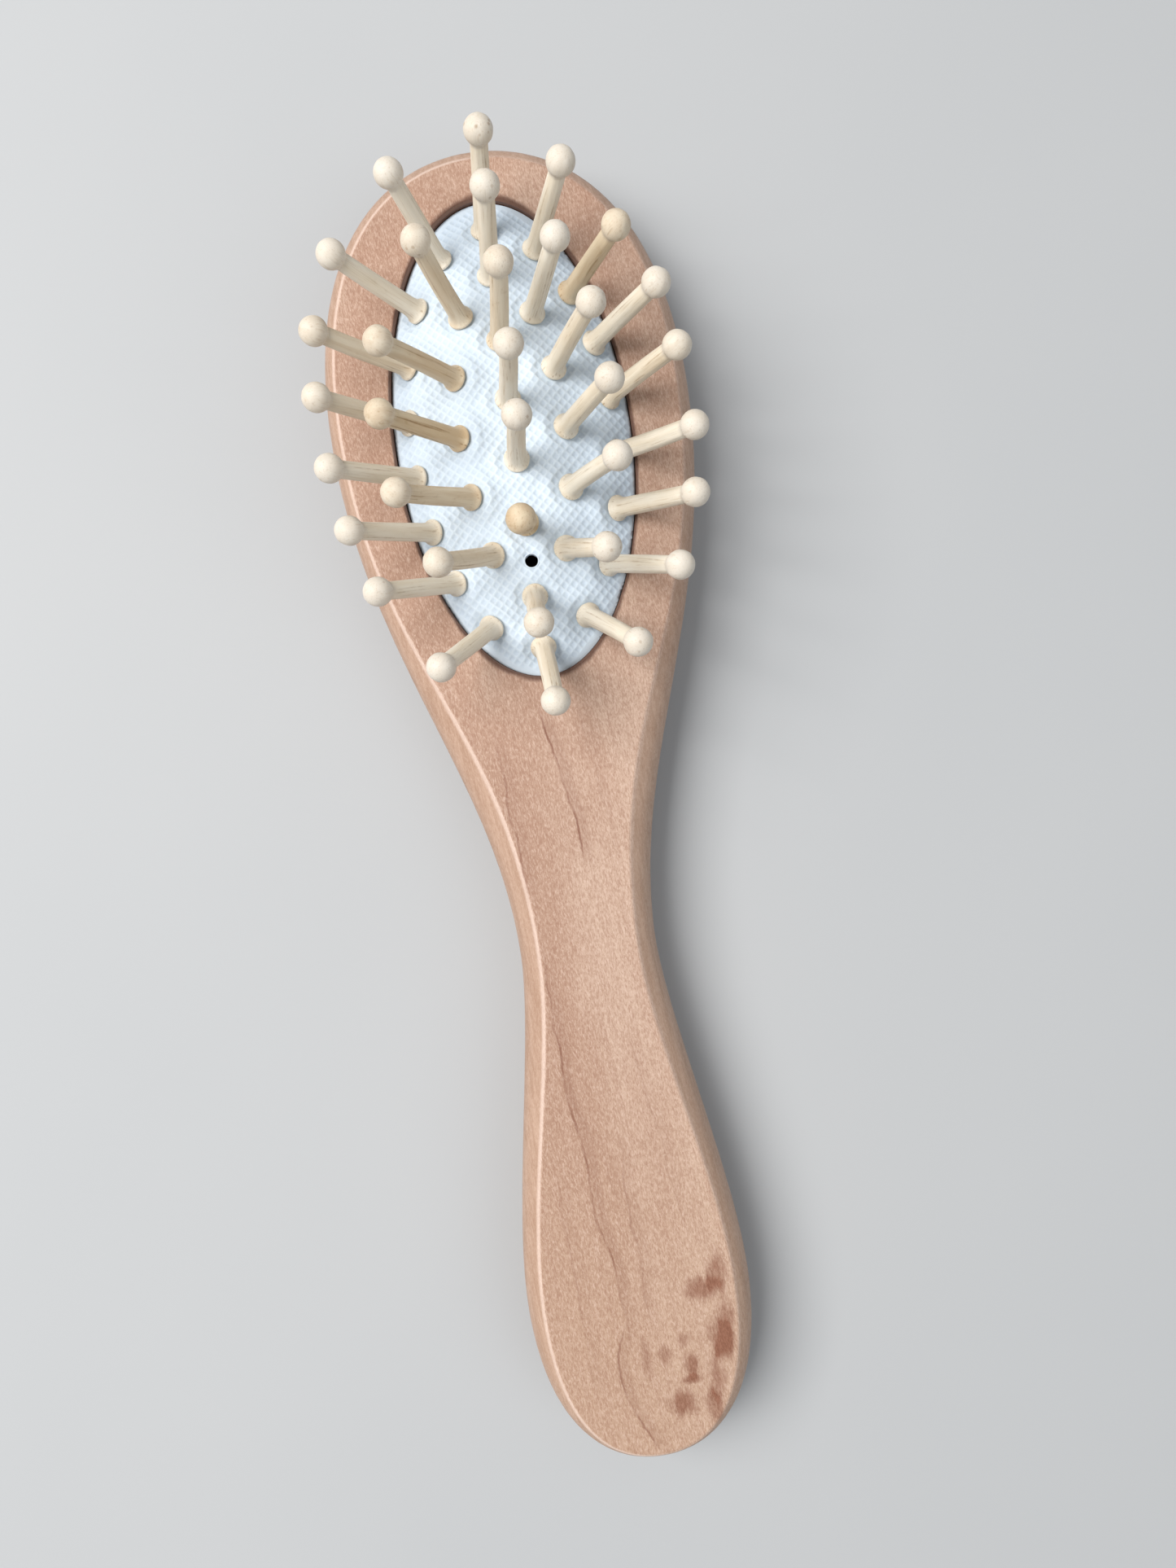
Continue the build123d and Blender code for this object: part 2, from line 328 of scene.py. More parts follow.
class Surface:
    """One material, with short calls for the nodes that drive it."""

    def __init__(self, name, **constants):
        self.material = bpy.data.materials.new(name)
        self.material.use_nodes = True
        self.tree = self.material.node_tree
        self.shader = self.tree.nodes["Principled BSDF"]
        for socket, value in constants.items():
            self.shader.inputs[socket.replace("_", " ")].default_value = value

    def node(self, kind, inputs, output=0, **settings):
        made = self.tree.nodes.new(kind)
        for name, value in settings.items():
            setattr(made, name, value)
        for name, value in inputs.items():
            self.put(made.inputs[name], value)
        return made.outputs[output]

    def put(self, socket, value):
        if isinstance(value, bpy.types.NodeSocket):
            self.tree.links.new(value, socket)
        else:
            socket.default_value = value

    def drive(self, name, value):
        self.put(self.shader.inputs[name], value)

    def object_mm(self):
        """The object's own coordinates, in millimetres."""
        place = self.node("ShaderNodeTexCoord", {}, "Object")
        return self.stretch(place, (1 / MM,) * 3)

    def attribute(self, name, output):
        return self.node("ShaderNodeAttribute", {}, output, attribute_name=name)

    def stretch(self, place, scale, turn=0.0):
        return self.node(
            "ShaderNodeMapping", {"Vector": place, "Scale": scale, "Rotation": (0, 0, math.radians(turn))}
        )

    def noise(self, place, detail=2.0, roughness=0.5, distortion=0.0, scale=1.0):
        inputs = {
            "Vector": place, "Scale": scale, "Detail": detail,
            "Roughness": roughness, "Distortion": distortion,
        }
        return self.node("ShaderNodeTexNoise", inputs)

    def spots(self, place):
        """Distance to the nearest of many scattered points, one to a unit of space."""
        return self.node("ShaderNodeTexVoronoi", {"Vector": place, "Scale": 1.0})

    def math(self, operation, *values):
        return self.node("ShaderNodeMath", dict(enumerate(values)), operation=operation)

    def axis(self, place, name):
        return self.node("ShaderNodeSeparateXYZ", {"Vector": place}, name)

    def fade(self, value, start, end, low=0.0, high=1.0):
        """low before start, high past end, and a smooth change between them."""
        inputs = {"Value": value, "From Min": start, "From Max": end, "To Min": low, "To Max": high}
        return self.node("ShaderNodeMapRange", inputs, interpolation_type="SMOOTHSTEP")

    def mix(self, share, first, second, blend="MIX"):
        """Two colours mixed. The Mix node's inputs 6 and 7 are its two colours."""
        made = self.tree.nodes.new("ShaderNodeMix")
        made.data_type = "RGBA"
        made.blend_type = blend
        for socket, value in zip((made.inputs[0], made.inputs[6], made.inputs[7]), (share, first, second)):
            self.put(socket, value)
        return made.outputs[2]

    def total(self, values):
        summed = values[0]
        for value in values[1:]:
            summed = self.math("ADD", summed, value)
        return summed

    def bump(self, height, distance, strength=1.0):
        inputs = {"Height": height, "Distance": distance * MM, "Strength": strength}
        self.drive("Normal", self.node("ShaderNodeBump", inputs))


def ellipse_reach(surface, place, middle, half_width, half_length):
    """0 in an upright ellipse's middle, 1 on its line, and more outside."""
    across = surface.math("SUBTRACT", surface.axis(place, "X"), middle[0])
    along = surface.math("SUBTRACT", surface.axis(place, "Y"), middle[1])
    shares = (surface.math("DIVIDE", across, half_width), surface.math("DIVIDE", along, half_length))
    squares = [surface.math("POWER", value, 2.0) for value in shares]
    return surface.math("SQRT", surface.total(squares))


def stain_share(wood, place):
    """How stained the wood is: soft patches on the pin face that have crept along the grain."""
    ragged = wood.noise(wood.stretch(place, STAIN_SCALE), detail=5.0, roughness=0.6)
    patches = []
    for x, y, half_width, half_length, strength in STAINS:
        reach = ellipse_reach(wood, place, (x, y), half_width, half_length)
        uneven = wood.math("ADD", reach, wood.fade(ragged, *RAGGED_SPREAD, -RAGGED, RAGGED))
        patches.append(wood.fade(uneven, *STAIN_FADE, 0.0, strength))
    return wood.math("MINIMUM", wood.total(patches), 1.0)


def growth_share(wood, place):
    """How much of a growth line shows: thin dark lines that wander along the grain."""
    drift = wood.noise(wood.stretch(place, GROWTH_DRIFT_SCALE), detail=4.0)
    wander = wood.fade(drift, *SPREAD, -GROWTH_WANDER, GROWTH_WANDER)
    across = wood.math("ADD", wood.axis(place, "X"), wander)
    broken = wood.noise(wood.stretch(place, GROWTH_BREAK_SCALE), detail=4.0)
    shown = wood.fade(broken, *GROWTH_FADE, GROWTH_LEAST, 1.0)
    lines = []
    for x, y, half_length, slant, bend, strength in GROWTH_LINES:
        along = wood.math("SUBTRACT", wood.axis(place, "Y"), y)
        moved = wood.math("MULTIPLY", wood.math("MULTIPLY_ADD", along, bend, slant), along)
        off = wood.math("SUBTRACT", across, wood.math("ADD", moved, x))
        core = wood.fade(wood.math("ABSOLUTE", off), GROWTH_WIDTH, 0.0, 0.0, strength)
        beside = wood.math("ABSOLUTE", wood.math("ADD", off, -HALO_BESIDE))
        halo = wood.fade(beside, HALO_WIDTH, 0.0, 0.0, HALO_SHARE * strength)
        ends = wood.fade(wood.math("ABSOLUTE", along), half_length, half_length * GROWTH_ENDS)
        line = wood.math("ADD", wood.math("MULTIPLY", core, shown), halo)
        lines.append(wood.math("MULTIPLY", line, ends))
    return wood.total(lines)


def pocket_line_share(wood, place):
    """How dark the wood is along a thin, uneven line round the pocket's mouth."""
    low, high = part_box("cushion")
    middle = (0.0, (low.y + high.y) / 2 / MM)
    half_length = (high.y - low.y) / 2 / MM - BEAD_OUT
    reach = ellipse_reach(wood, place, middle, high.x / MM - BEAD_OUT, half_length)
    uneven = wood.noise(wood.stretch(place, POCKET_LINE_SCALE), detail=4.0)
    uneven = wood.math("MULTIPLY", uneven, POCKET_LINE_UNEVEN)
    return wood.fade(wood.math("SUBTRACT", reach, uneven), *POCKET_LINE_FADE)


def wood_colour(wood, place, grain, bands, on_face):
    """The bare wood's colour: pinkish face with a paler handle, and plain brown streaks on the sides."""
    tone = wood.noise(wood.stretch(grain, WOOD_TONE_SCALE), detail=4.0, roughness=0.6)
    in_handle = wood.fade(wood.axis(place, "Y"), *HANDLE_START, *HEART_SLANT)
    rightward = wood.math("MULTIPLY", wood.axis(place, "X"), in_handle)
    heart = wood.math("SUBTRACT", wood.math("MULTIPLY", tone, HEART_WAVE), rightward)
    colour = wood.mix(wood.fade(heart, *HEART_FADE), *WOOD_TONES)
    handle_end = wood.fade(wood.axis(place, "Y"), *HANDLE_END, 0.0, END_SHARE)
    colour = wood.mix(handle_end, colour, WOOD_END)
    colour = wood.mix(wood.fade(bands, *SPREAD, 0.0, BAND_SHARE), colour, WOOD_BAND)
    side_colour = wood.mix(wood.fade(bands, *SIDE_FADE), *WOOD_SIDE)
    on_side = wood.math("SUBTRACT", 1.0, on_face)
    return wood.mix(wood.math("MULTIPLY", on_side, SIDE_SHARE), colour, side_colour)


def highlight_and_wear_share(wood, place, face_z):
    """How much painted highlight, with some wear, lies along the pin face's edge: a light line, stronger on
    the lit left.
    """
    height = wood.axis(place, "Z")
    edge = wood.fade(height, face_z - EDGE_HIGHLIGHT_WEAR_FADE[0], face_z - EDGE_HIGHLIGHT_WEAR_FADE[1])
    edge = wood.math("MULTIPLY", edge, wood.fade(height, face_z, face_z - EDGE_HIGHLIGHT_WEAR_END))
    return wood.math("MULTIPLY", edge, wood.fade(wood.axis(place, "X"), *RIGHT_TO_LEFT, *EDGE_HIGHLIGHT_WEAR_SHARE))


def wood_material():
    """Pale pinkish beech, sanded and oiled: fine flecks on the face, plain brown streaks on the sides."""
    face_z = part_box("handle_body")[1].z / MM
    wood = Surface("wood", Specular_IOR_Level=GLOSS)
    place = wood.object_mm()
    grain = wood.stretch(place, (1, 1, 1), -GRAIN_ANGLE)
    bands = wood.noise(wood.stretch(grain, WOOD_BAND_SCALE), detail=5.0, roughness=0.7)
    flecks = wood.noise(wood.stretch(grain, WOOD_FLECK_SCALE), detail=4.0, roughness=0.7, distortion=0.6)
    fibres = wood.noise(wood.stretch(grain, WOOD_FIBRE_SCALE), detail=2.0, roughness=0.6)
    on_face = wood.fade(wood.axis(place, "Z"), face_z - FACE_FADE[0], face_z - FACE_FADE[1])

    colour = wood_colour(wood, place, grain, bands, on_face)
    strength = wood.math("MULTIPLY_ADD", on_face, FLECK_MORE, FLECK_SHARE)
    for limits, shade in ((PORE_FADE, WOOD_PORE), (RAY_FADE, WOOD_RAY)):
        share = wood.math("MULTIPLY", wood.fade(flecks, *limits), strength)
        colour = wood.mix(share, colour, shade)
    # Painted highlight, with some wear, where the face's edge catches the light.
    colour = wood.mix(highlight_and_wear_share(wood, place, face_z), colour, WOOD_EDGE_HIGHLIGHT_AND_WEAR)
    colour = wood.mix(wood.fade(fibres, *FIBRE_FADE, 0.0, FIBRE_SHARE), colour, WOOD_PORE)
    growth = growth_share(wood, place)
    grown = wood.math("MINIMUM", wood.math("MULTIPLY", growth, GROWTH_SHARE), GROWTH_SHARE)
    colour = wood.mix(grown, colour, WOOD_GROWTH)
    stained = wood.math("MULTIPLY", stain_share(wood, place), on_face)
    colour = wood.mix(wood.math("MULTIPLY", stained, STAIN_SHARE), colour, WOOD_STAIN, "MULTIPLY")
    # A thin dark line round the pocket's mouth.
    colour = wood.mix(wood.math("MULTIPLY", pocket_line_share(wood, place), POCKET_LINE_SHARE), colour, WOOD_POCKET_LINE)
    wood.drive("Base Color", colour)

    rough = wood.fade(flecks, *SPREAD, *WOOD_ROUGH)
    on_side = wood.math("SUBTRACT", 1.0, on_face)
    wood.drive("Roughness", wood.math("MULTIPLY_ADD", on_side, -SIDE_SMOOTHER, rough))
    relief = wood.total([
        wood.math("MULTIPLY", flecks, FLECK_RELIEF), wood.math("MULTIPLY", fibres, FIBRE_RELIEF),
        wood.math("MULTIPLY", growth, GROWTH_RELIEF),
    ])
    wood.bump(relief, *WOOD_BUMP)
    return wood.material


def rubber_material():
    """Matt bluish-white rubber with faint blotches, and painted shade and dust in the cells."""
    rubber = Surface(
        "rubber", Specular_IOR_Level=GLOSS, Subsurface_Weight=RUBBER_GLOW, Subsurface_Scale=RUBBER_GLOW_DEPTH
    )
    rubber.shader.inputs["Subsurface Radius"].default_value = RUBBER_SCATTER
    place = rubber.object_mm()
    blotches = rubber.noise(rubber.stretch(place, RUBBER_BLOTCH_SCALE), detail=4.0, roughness=0.55)
    dust = rubber.noise(rubber.stretch(place, RUBBER_DUST_SCALE), detail=5.0, roughness=0.7)
    grit = rubber.noise(rubber.stretch(place, RUBBER_GRIT_SCALE), detail=2.0)
    low = rubber.attribute("low", "Fac")
    colour = rubber.mix(rubber.fade(blotches, *SPREAD), *RUBBER_TONES)
    # Painted shade on the cells' floors, which lie lower than the ridges.
    colour = rubber.mix(rubber.math("MULTIPLY", low, CELL_SHADE_SHARE), colour, RUBBER_CELL_SHADE)
    specks = rubber.fade(dust, *DUST_FADE, 0.0, DUST_SHARE)
    dusty = rubber.math("MULTIPLY", specks, rubber.math("ADD", low, RIDGE_DUST))
    rubber.drive("Base Color", rubber.mix(dusty, colour, RUBBER_DUST))
    rubber.drive("Roughness", rubber.fade(dust, *SPREAD, *RUBBER_ROUGH))
    rubber.bump(grit, *RUBBER_BUMP)
    return rubber.material


def bamboo_colour(bamboo, place, swayed, patterns, on_ball):
    """The pin's colour: pale or brown bamboo, its streaks and fibres, and dots and patches on it."""
    strands, fibres, mottle = patterns
    brown = bamboo.attribute("brown", "Fac")
    tone = bamboo.noise(bamboo.stretch(swayed, BAMBOO_TONE_SCALE), detail=3.0)
    colour = bamboo.mix(brown, *[bamboo.mix(bamboo.fade(tone, *SPREAD), *pair) for pair in BAMBOO_TONES])
    paler = bamboo.math("MULTIPLY_ADD", brown, BALL_PALER_BROWN, BALL_PALER)
    colour = bamboo.mix(bamboo.math("MULTIPLY", on_ball, paler), colour, BAMBOO_BALL)
    mottled = bamboo.fade(mottle, *MOTTLE_FADE, *STREAK_SHARES)
    streaky = bamboo.math("MULTIPLY_ADD", brown, STREAK_BROWN, mottled)
    streaky = bamboo.math("MULTIPLY", streaky, bamboo.math("MULTIPLY_ADD", on_ball, STREAK_BALL, 1.0))
    streak = bamboo.math("MULTIPLY", bamboo.fade(strands, *STREAK_FADE), streaky)
    colour = bamboo.mix(bamboo.math("MINIMUM", streak, 1.0), colour, BAMBOO_STREAK)
    colour = bamboo.mix(bamboo.fade(fibres, *STRAND_FADE, 0.0, STRAND_SHARE), colour, BAMBOO_FIBRE)
    dots = bamboo.fade(bamboo.spots(bamboo.stretch(place, BAMBOO_DOT_SCALE)), *DOT_FADE)
    spotty = bamboo.math("MULTIPLY", bamboo.attribute("spotty", "Fac"), on_ball)
    dotted = bamboo.math("MULTIPLY", bamboo.math("MULTIPLY", dots, spotty), DOT_SHARE)
    colour = bamboo.mix(dotted, colour, BAMBOO_STREAK)
    browner = bamboo.math("MULTIPLY_ADD", brown, PATCH_BROWN, PATCH_LEAST)
    patch = bamboo.math("MULTIPLY", bamboo.fade(mottle, *PATCH_FADE), browner)
    return bamboo.mix(bamboo.math("MULTIPLY", patch, PATCH_SHARE), colour, BAMBOO_FIBRE)


def bamboo_material():
    """Cream bamboo: strands along the pin show as streaks on its sides and as pores on its ball."""
    bamboo = Surface("bamboo", Specular_IOR_Level=GLOSS)
    place = bamboo.attribute("grain", "Vector")
    wavy = bamboo.noise(bamboo.stretch(place, BAMBOO_SWAY_SCALE), detail=1.0)
    sway = bamboo.node("ShaderNodeCombineXYZ", {"X": wavy, "Y": wavy})
    swayed = bamboo.node("ShaderNodeVectorMath", {0: place, 1: sway}, operation="ADD")
    strands = bamboo.spots(bamboo.stretch(swayed, BAMBOO_STRAND_SCALE))
    fibres = bamboo.noise(bamboo.stretch(swayed, BAMBOO_FIBRE_SCALE), detail=3.0, roughness=0.6)
    mottle = bamboo.noise(bamboo.stretch(place, BAMBOO_MOTTLE_SCALE), detail=4.0, roughness=0.6)
    height = bamboo.attribute("height", "Fac")
    on_ball = bamboo.fade(height, PIN_LENGTH - BALL_FADE[0], PIN_LENGTH - BALL_FADE[1])

    patterns = (strands, fibres, mottle)
    bamboo.drive("Base Color", bamboo_colour(bamboo, place, swayed, patterns, on_ball))
    bamboo.drive("Roughness", bamboo.fade(fibres, *SPREAD, *BAMBOO_ROUGH))
    grooves = bamboo.fade(strands, *GROOVE_FADE)
    relief = bamboo.total([
        bamboo.math("MULTIPLY", fibres, STRAND_RELIEF), bamboo.math("MULTIPLY", grooves, GROOVE_RELIEF),
    ])
    bamboo.bump(relief, *BAMBOO_BUMP)
    return bamboo.material


class Pin:
    """Where one pin stands in the frame: its collar's underside, its direction and two directions across."""

    def __init__(self, joint, node):
        self.name = joint["child"]
        self.body = joint["child"]
        pivot = np.array(joint["pos_m"])
        vertices = np.array([v.co for v in node.data.vertices])
        crown = vertices[np.argmax(np.linalg.norm(vertices - pivot, axis=1))]
        self.up = (crown - pivot) / np.linalg.norm(crown - pivot)
        self.foot = pivot / MM + self.up * PIVOT_DEPTH
        self.side = np.cross((0, 1, 0), self.up)
        self.side /= np.linalg.norm(self.side)
        self.front = np.cross(self.up, self.side)

    def matrix(self):
        turned = Matrix([list(row) for row in np.array([self.side, self.front, self.up]).T])
        return Matrix.LocRotScale(Vector(self.foot * MM), turned, None)


def flare_points():
    """The curve from the collar's edge into the shaft: (radius, height) pairs."""
    points = []
    for step in range(1, FLARE_STEPS + 1):
        t = step / FLARE_STEPS
        start, middle, end = (1 - t) ** 2, 2 * t * (1 - t), t * t
        radius = start * COLLAR_RADIUS + middle * (SHAFT_RADIUS + FLARE_POINT[0]) + end * SHAFT_RADIUS
        height = middle * FLARE_POINT[1] + end * COLLAR_FLARE
        points.append((radius - COLLAR_UPPER_BEVEL[0] * (1 - t), COLLAR_EDGE + height))
    return points


def shaft_points():
    """The shaft's side, from the flare to the ball: (radius, height) pairs."""
    low = COLLAR_EDGE + COLLAR_FLARE
    high = PIN_LENGTH - math.sqrt(BALL_RADIUS**2 - SHAFT_TOP_RADIUS**2)
    points = []
    for step in range(1, SHAFT_STEPS + 1):
        t = step / SHAFT_STEPS
        points.append((SHAFT_RADIUS + t * (SHAFT_TOP_RADIUS - SHAFT_RADIUS), low + t * (high - low)))
    return points


def ball_points():
    """The ball's side, from the shaft to its crown: (radius, height) pairs."""
    start = math.asin(SHAFT_TOP_RADIUS / BALL_RADIUS)
    points = []
    for step in range(1, BALL_STEPS):
        angle = start + (math.pi - start) * step / BALL_STEPS
        points.append((BALL_RADIUS * math.sin(angle), PIN_LENGTH - BALL_RADIUS * math.cos(angle)))
    points.append((0.0, PIN_LENGTH + BALL_RADIUS))
    return points


def pin_profile():
    """The pin's outline from the barb's tip to the ball's crown: (radius, height) pairs, in millimetres."""
    barb_top = -NECK_LENGTH
    barb_tip = barb_top - BARB_LENGTH
    points = [
        (0.0, barb_tip), (BARB_TIP_RADIUS, barb_tip), (BARB_RADIUS, barb_top - BARB_SIDE),
        (BARB_RADIUS, barb_top), (NECK_RADIUS, barb_top), (NECK_RADIUS, -NECK_RING), (NECK_RADIUS, 0.0),
        (COLLAR_RADIUS - COLLAR_LOWER_BEVEL[0], 0.0), (COLLAR_RADIUS, COLLAR_LOWER_BEVEL[1]),
        (COLLAR_RADIUS, COLLAR_EDGE - COLLAR_UPPER_BEVEL[1]),
        (COLLAR_RADIUS - COLLAR_UPPER_BEVEL[0], COLLAR_EDGE),
    ]
    return points + flare_points() + shaft_points() + ball_points()


def lathe_mesh(name, profile, shape):
    """A closed mesh turned from a profile, each point moved by shape(angles, radius, height)."""
    angles = np.arange(ROUND_SIDES) * TURN / ROUND_SIDES
    points = [(0.0, 0.0, profile[0][1])]
    for radius, height in profile[1:-1]:
        points += [tuple(point) for point in shape(angles, radius, height)]
    points.append((0.0, 0.0, profile[-1][1]))
    rings = len(profile) - 2
    last = len(points) - 1
    faces = []
    for side in range(ROUND_SIDES):
        after = (side + 1) % ROUND_SIDES
        faces.append((0, 1 + after, 1 + side))
        for ring in range(rings - 1):
            low, high = 1 + ring * ROUND_SIDES, 1 + (ring + 1) * ROUND_SIDES
            faces.append((low + side, low + after, high + after, high + side))
        top = 1 + (rings - 1) * ROUND_SIDES
        faces.append((top + side, top + after, last))
    mesh = bpy.data.meshes.new(name)
    mesh.from_pydata(np.array(points) * MM, [], faces)
    return mesh, np.array(points)


def pin_shape(chance):
    """How one turned pin differs from a perfect one: flutes along the shaft, a lumpy ball, a worn collar."""
    flutes = [(count, chance.uniform(0, TURN), chance.uniform(*FLUTE_SIZES)) for count in FLUTE_COUNTS]
    dents = [
        (chance.uniform(0, TURN), chance.uniform(*DENT_LEVELS), chance.uniform(*DENT_SIZES))
        for _ in range(DENTS)
    ]
    chips = [(chance.uniform(0, TURN), chance.uniform(*CHIP_SIZES)) for _ in range(CHIPS)]
    bow = (chance.uniform(-BOW, BOW), chance.uniform(-BOW, BOW))

    def shape(angles, radius, height):
        above = max(0.0, height) / PIN_LENGTH
        twist = FLUTE_TWIST * above
        wave = sum(size * np.cos(count * angles + phase + twist) for count, phase, size in flutes)
        on_ball = min(1.0, max(0.0, (height - PIN_LENGTH + BALL_RADIUS) / BALL_BLEND))
        grows = wave * FLUTE_DEEP * min(1.0, above * FLUTE_START) * (1 - FLUTE_LESS_ON_BALL * on_ball)
        for turn, level, size in dents:
            apart = np.sin((angles - turn) / 2) ** 2 * 4 * radius**2
            apart = apart + (height - PIN_LENGTH - level * BALL_RADIUS) ** 2
            grows = grows - DENT_DEEP * size * np.exp(-apart / size**2)
        if 0.0 < height <= COLLAR_EDGE:
            for turn, size in chips:
                apart = np.sin((angles - turn) / 2) * 2 * radius / size
                grows = grows - CHIP_DEEP * size * np.exp(-(apart**2))
        around = np.maximum(radius + grows * min(1.0, radius), THINNEST)
        lean = math.sin(math.pi * min(above, 1.0))
        across = around * np.cos(angles) + bow[0] * lean
        back = around * np.sin(angles) + bow[1] * lean
        return np.stack([across, back, np.full_like(across, height)], axis=1)

    return shape


def make_pin(pin, chance, material):
    """One pin in its place, with its own small differences."""
    mesh, points = lathe_mesh("turned_" + pin.name, pin_profile(), pin_shape(chance))
    shift = np.array([chance.uniform(-GRAIN_SHIFT, GRAIN_SHIFT) for _ in range(3)])
    store(mesh, "grain", "FLOAT_VECTOR", "vector", (points + shift).ravel())
    store(mesh, "height", "FLOAT", "value", points[:, 2])
    brown = BROWN_PINS.get(pin.name, chance.uniform(*PALE))
    store(mesh, "brown", "FLOAT", "value", np.full(len(points), brown))
    store(mesh, "spotty", "FLOAT", "value", np.full(len(points), chance.uniform(0.0, 1.0) ** 2))
    mesh.shade_smooth()
    mesh.set_sharp_from_angle(angle=math.radians(PIN_SHARP))
    mesh.materials.append(material)
    piece = bpy.data.objects.new("turned_" + pin.name, mesh)
    bpy.context.scene.collection.objects.link(piece)
    piece.matrix_world = pin.matrix()
    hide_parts(pin.name)
    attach(piece, pin.body)


def store(mesh, name, kind, field, values):
    """Keeps one value for each of a mesh's points, for a material to read."""
    attribute = mesh.attributes.new(name, kind, "POINT")
    attribute.data.foreach_set(field, np.asarray(values, np.float32))


def smooth_step(value, start, end):
    """0 before start, 1 past end, and a smooth change between them."""
    t = np.clip((value - start) / (end - start), 0, 1)
    return t * t * (3 - 2 * t)


class Dome:
    """The membrane's outer surface, in millimetres, with its middle at the pocket's middle."""

    def __init__(self, pins):
        low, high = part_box("cushion")
        self.middle = (low.y + high.y) / 2 / MM
        self.half_width = high.x / MM - BEAD_OUT
        self.half_length = (high.y - low.y) / 2 / MM - BEAD_OUT
        self.rim = high.z / MM - DOME_RISE
        self.pins = [(p.foot - (0, self.middle, 0), p.up) for p in pins]

    def reach(self, x, y):
        """1 on the dome's rim, and 0 in its middle."""
        return np.hypot(x / self.half_width, y / self.half_length)

    def plain(self, x, y):
        """Height of the dome before any pin is set in it."""
        top = DOME_RISE / (1 - math.sqrt(1 - DOME_SPREAD**2))
        inside = 1 - (DOME_SPREAD * self.reach(x, y)) ** 2
        return self.rim + top * (np.sqrt(np.maximum(inside, DOME_LEAST)) - math.sqrt(1 - DOME_SPREAD**2))

    def surface(self, x, y):
        """Where the membrane follows the collars, how deep it dips there, and how near each pin is."""
        plain = self.plain(x, y)
        height = plain
        for _ in range(2):
            pull, weight = np.zeros_like(plain), np.zeros_like(plain)
            nearest = np.full_like(plain, np.inf)
            dip = np.zeros_like(plain)
            for foot, up in self.pins:
                apart, off = across_pin(x, y, height, foot, up)
                slant = ((x - foot[0]) * up[0] + (y - foot[1]) * up[1]) / up[2]
                flat = foot[2] - SEAT_UNDER * up[2] - slant
                share = 1 - smooth_step(apart, COLLAR_RADIUS, SEAT_REACH)
                pull += share * (flat - plain)
                weight += share
                dip = np.maximum(dip, dimple(apart, off, up))
                nearest = np.minimum(nearest, apart)
            edge = 1 - smooth_step(self.reach(x, y), FOLLOW_REACH, 1.0)
            followed = plain + edge * pull / np.maximum(weight, 1.0)
            height = followed - dip
        return followed, dip, nearest

    def slope(self, x, y, step_x, step_y):
        """How steeply the membrane rises, from one step behind each point to one step ahead."""
        ahead = self.surface(x + step_x, y + step_y)[0]
        behind = self.surface(x - step_x, y - step_y)[0]
        return (ahead - behind) / (2 * SLOPE_STEP)


def dimple(apart, off, up):
    """Depth of the dimple under a collar, full where a rocking collar's edge goes down."""
    rocks = DIMPLE_LEAST + (1 - DIMPLE_LEAST) * np.abs(off[..., 0]) / np.maximum(apart, NEAR_AXIS)
    hollow = (1 - smooth_step(apart, DIMPLE_FLOOR, DIMPLE_EDGE)) * np.minimum(rocks, 1.0)
    return hollow * DIMPLE_DEEP / up[2]


def across_pin(x, y, z, foot, up):
    """Distance from a pin's axis, and the vector from the axis to each point."""
    to_point = np.stack([x - foot[0], y - foot[1], z - foot[2]], axis=-1)
    along = to_point @ up
    off = to_point - along[..., None] * up
    return np.linalg.norm(off, axis=-1), off


def waffle_grid(half_length):
    """Points of a grid along the waffle's ridges: their places, and 1 where a point is on a cell's floor."""
    cells = int(half_length / WAFFLE_PITCH) + 2
    steps = np.array([cell * WAFFLE_PITCH + step for cell in range(-cells, cells) for step in WAFFLE_STEPS])
    floor = np.tile((0.0, 1.0, 1.0, 0.0), 2 * cells)
    u, v = np.meshgrid(steps, steps, indexing="ij")
    turn = math.radians(WAFFLE_ANGLE)
    x = u * math.cos(turn) - v * math.sin(turn)
    y = u * math.sin(turn) + v * math.cos(turn)
    return x, y, np.outer(floor, floor)


def vent_lip(dome):
    """A smooth ring that lines the vent and follows the membrane: its points and faces."""
    outside = VENT_RADIUS + LIP_WIDTH
    section = (
        (VENT_RADIUS + LIP_ROUNDING, -LIP_DEPTH), (VENT_RADIUS, -LIP_ROUNDING),
        (VENT_RADIUS + LIP_ROUNDING, 0.0), (outside - LIP_ROUNDING, 0.0),
        (outside, -LIP_OUTER_ROUNDING), (outside, -LIP_DEPTH),
    )
    angles = np.arange(ROUND_SIDES) * TURN / ROUND_SIDES
    points = []
    for radius, rise in section:
        x, y = radius * np.cos(angles), VENT_Y + radius * np.sin(angles)
        points.append(np.stack([x, y, dome.surface(x, y)[0] + rise], axis=1))
    faces = []
    for ring in range(len(section)):
        low, high = ring * ROUND_SIDES, (ring + 1) % len(section) * ROUND_SIDES
        for side in range(ROUND_SIDES):
            after = (side + 1) % ROUND_SIDES
            faces.append((low + side, high + side, high + after, low + after))
    return np.concatenate(points), faces


def cushion_holes(dome):
    """The cushion's holes: a point on each one's axis, the axis's direction, and the radius."""
    vent = (np.array([0.0, VENT_Y, 0.0]), np.array([0.0, 0.0, 1.0]), VENT_RADIUS + LIP_WIDTH / 2)
    return [(foot, up, HOLE_RADIUS) for foot, up in dome.pins] + [vent]


